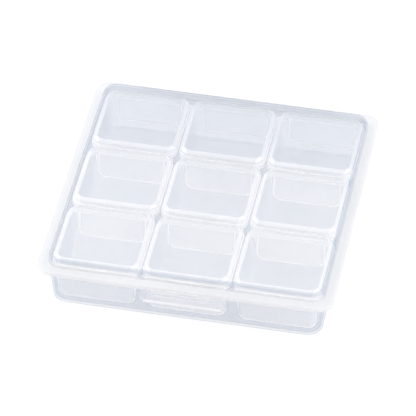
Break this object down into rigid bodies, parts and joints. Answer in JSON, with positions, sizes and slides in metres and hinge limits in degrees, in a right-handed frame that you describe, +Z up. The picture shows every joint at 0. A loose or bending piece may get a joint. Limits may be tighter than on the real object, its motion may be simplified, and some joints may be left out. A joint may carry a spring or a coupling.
{
  "type": "craft storage organizer",
  "caption": "Clear flat case with a hinged snap-shut cover over a grid of small clear boxes, each with its own hinged lid, for sorting beads and craft findings.",
  "frame": {"origin": "centre of the tray's flat underside", "axes": "+X to the right as seen from the clasp side, +Y towards the case hinge at the back, +Z up"},
  "size_m": [0.154, 0.1558, 0.0306],
  "materials": {
    "case_clear": "clear moulded polypropylene, smooth with a slight haze",
    "box_clear": "clear moulded polypropylene, smooth with a slight haze",
    "hinge_film": "thin folded polypropylene, slightly whitened at the fold"
  },
  "bodies": {
    "tray": {"tray": "case_clear", "case_hinge": "hinge_film", "box_base_r1c1": "box_clear", "box_base_r1c2": "box_clear", "box_base_r1c3": "box_clear", "box_base_r2c1": "box_clear", "box_base_r2c2": "box_clear", "box_base_r2c3": "box_clear", "box_base_r3c1": "box_clear", "box_base_r3c2": "box_clear", "box_base_r3c3": "box_clear", "box_hinge_r1c1": "hinge_film", "box_hinge_r1c2": "hinge_film", "box_hinge_r1c3": "hinge_film", "box_hinge_r2c1": "hinge_film", "box_hinge_r2c2": "hinge_film", "box_hinge_r2c3": "hinge_film", "box_hinge_r3c1": "hinge_film", "box_hinge_r3c2": "hinge_film", "box_hinge_r3c3": "hinge_film"},
    "case_lid": {"case_lid": "case_clear", "clasp_hinge": "hinge_film"},
    "front_clasp": {"front_clasp": "case_clear"},
    "box_lid_r1c1": {"box_lid_r1c1": "box_clear"},
    "box_lid_r1c2": {"box_lid_r1c2": "box_clear"},
    "box_lid_r1c3": {"box_lid_r1c3": "box_clear"},
    "box_lid_r2c1": {"box_lid_r2c1": "box_clear"},
    "box_lid_r2c2": {"box_lid_r2c2": "box_clear"},
    "box_lid_r2c3": {"box_lid_r2c3": "box_clear"},
    "box_lid_r3c1": {"box_lid_r3c1": "box_clear"},
    "box_lid_r3c2": {"box_lid_r3c2": "box_clear"},
    "box_lid_r3c3": {"box_lid_r3c3": "box_clear"}
  },
  "joints": [
    {"name": "case_lid_hinge", "type": "hinge", "parent": "tray", "child": "case_lid", "pos_m": [0, 0.077, 0.0236], "axis": [-1, 0, 0], "range_deg": [0, 170], "deforming": ["case_hinge"]},
    {"name": "clasp_hinge_line", "type": "hinge", "parent": "case_lid", "child": "front_clasp", "pos_m": [0, -0.077, 0.0236], "axis": [-1, 0, 0], "range_deg": [0, 80], "deforming": ["clasp_hinge"]},
    {"name": "box_lid_r1c1_hinge", "type": "hinge", "parent": "tray", "child": "box_lid_r1c1", "pos_m": [-0.0472, 0.0696, 0.0244], "axis": [-1, 0, 0], "range_deg": [0, 85], "deforming": ["box_hinge_r1c1"]},
    {"name": "box_lid_r1c2_hinge", "type": "hinge", "parent": "tray", "child": "box_lid_r1c2", "pos_m": [0, 0.0696, 0.0244], "axis": [-1, 0, 0], "range_deg": [0, 85], "deforming": ["box_hinge_r1c2"]},
    {"name": "box_lid_r1c3_hinge", "type": "hinge", "parent": "tray", "child": "box_lid_r1c3", "pos_m": [0.0472, 0.0696, 0.0244], "axis": [-1, 0, 0], "range_deg": [0, 85], "deforming": ["box_hinge_r1c3"]},
    {"name": "box_lid_r2c1_hinge", "type": "hinge", "parent": "tray", "child": "box_lid_r2c1", "pos_m": [-0.0472, 0.0226, 0.0244], "axis": [-1, 0, 0], "range_deg": [0, 85], "deforming": ["box_hinge_r2c1"]},
    {"name": "box_lid_r2c2_hinge", "type": "hinge", "parent": "tray", "child": "box_lid_r2c2", "pos_m": [0, 0.0226, 0.0244], "axis": [-1, 0, 0], "range_deg": [0, 85], "deforming": ["box_hinge_r2c2"]},
    {"name": "box_lid_r2c3_hinge", "type": "hinge", "parent": "tray", "child": "box_lid_r2c3", "pos_m": [0.0472, 0.0226, 0.0244], "axis": [-1, 0, 0], "range_deg": [0, 85], "deforming": ["box_hinge_r2c3"]},
    {"name": "box_lid_r3c1_hinge", "type": "hinge", "parent": "tray", "child": "box_lid_r3c1", "pos_m": [-0.0472, -0.0244, 0.0244], "axis": [-1, 0, 0], "range_deg": [0, 85], "deforming": ["box_hinge_r3c1"]},
    {"name": "box_lid_r3c2_hinge", "type": "hinge", "parent": "tray", "child": "box_lid_r3c2", "pos_m": [0, -0.0244, 0.0244], "axis": [-1, 0, 0], "range_deg": [0, 85], "deforming": ["box_hinge_r3c2"]},
    {"name": "box_lid_r3c3_hinge", "type": "hinge", "parent": "tray", "child": "box_lid_r3c3", "pos_m": [0.0472, -0.0244, 0.0244], "axis": [-1, 0, 0], "range_deg": [0, 85], "deforming": ["box_hinge_r3c3"]}
  ],
  "couplings": [
    {"joint": "box_lid_r1c1_hinge", "follows": "case_lid_hinge", "ratio": 0.5},
    {"joint": "box_lid_r1c2_hinge", "follows": "case_lid_hinge", "ratio": 0.5},
    {"joint": "box_lid_r1c3_hinge", "follows": "case_lid_hinge", "ratio": 0.5},
    {"joint": "box_lid_r2c1_hinge", "follows": "case_lid_hinge", "ratio": 0.5},
    {"joint": "box_lid_r2c2_hinge", "follows": "case_lid_hinge", "ratio": 0.5},
    {"joint": "box_lid_r2c3_hinge", "follows": "case_lid_hinge", "ratio": 0.5},
    {"joint": "box_lid_r3c1_hinge", "follows": "case_lid_hinge", "ratio": 0.5},
    {"joint": "box_lid_r3c2_hinge", "follows": "case_lid_hinge", "ratio": 0.5},
    {"joint": "box_lid_r3c3_hinge", "follows": "case_lid_hinge", "ratio": 0.5}
  ]
}
